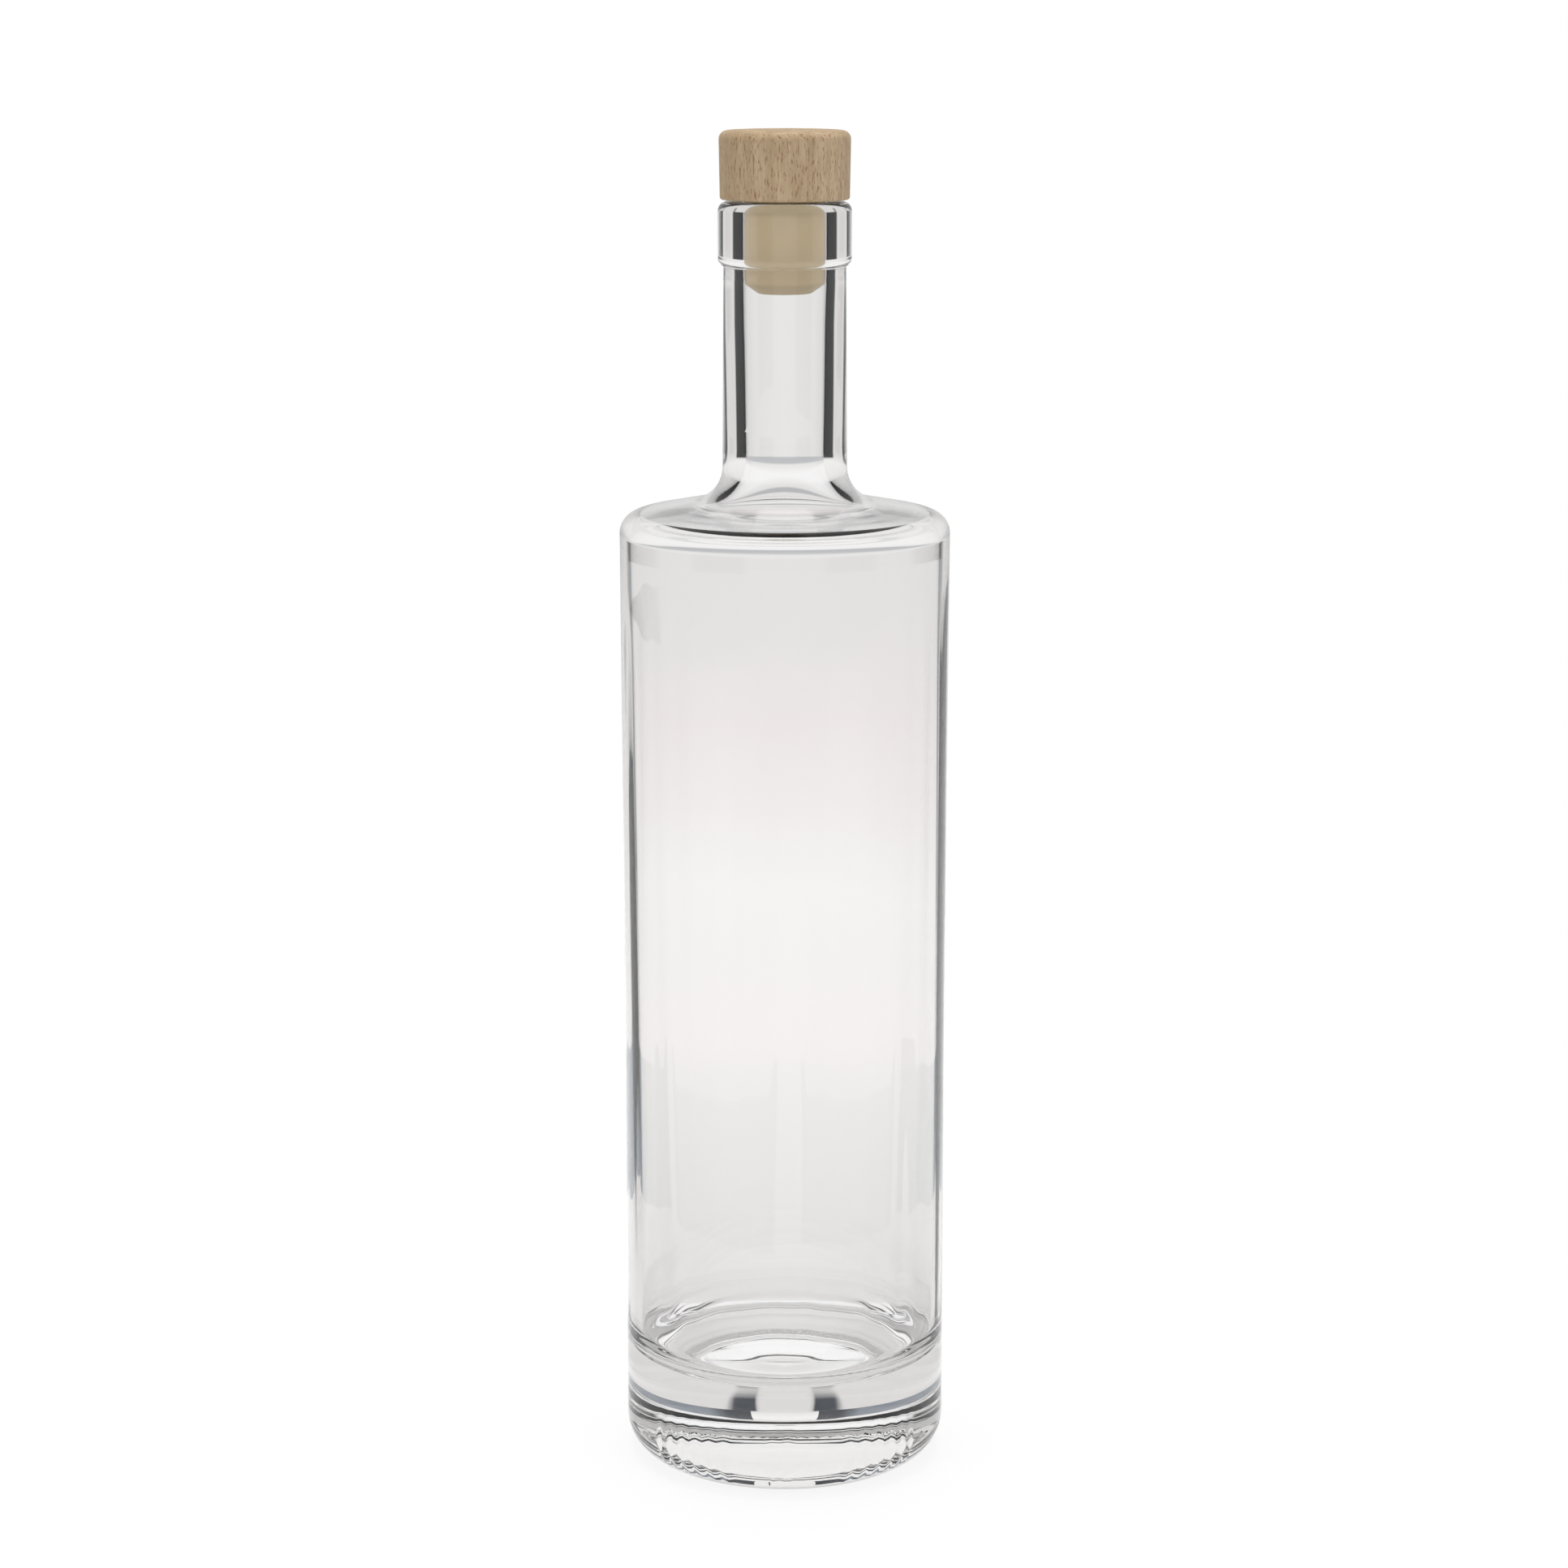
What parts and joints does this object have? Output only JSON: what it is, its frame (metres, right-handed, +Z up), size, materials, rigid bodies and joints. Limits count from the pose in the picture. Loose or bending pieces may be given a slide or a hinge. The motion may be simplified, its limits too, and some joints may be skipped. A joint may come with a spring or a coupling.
{
  "type": "glass spirits bottle",
  "caption": "Clear round glass bottle with a thick base, low shoulder, long collared neck and a wooden bar-top stopper that pulls out of its bore.",
  "frame": {"origin": "centre of the base, on the plane that the bottle stands on", "axes": "+Z up along the bottle's axis, towards the mouth; the picture looks along +Y, with +X to its right"},
  "size_m": [0.074, 0.074, 0.3043],
  "materials": {
    "flint_glass": "fire-polished clear flint glass",
    "beech": "turned and sanded beech, unvarnished",
    "plug_polymer": "moulded synthetic, fine satin"
  },
  "bodies": {
    "bottle": {"bottle": "flint_glass"},
    "stopper": {"stopper_head": "beech", "stopper_plug": "plug_polymer"}
  },
  "joints": [
    {"name": "stopper_pull", "type": "slide", "parent": "bottle", "child": "stopper", "axis": [0, 0, 1], "range_m": [0, 0.035]}
  ]
}
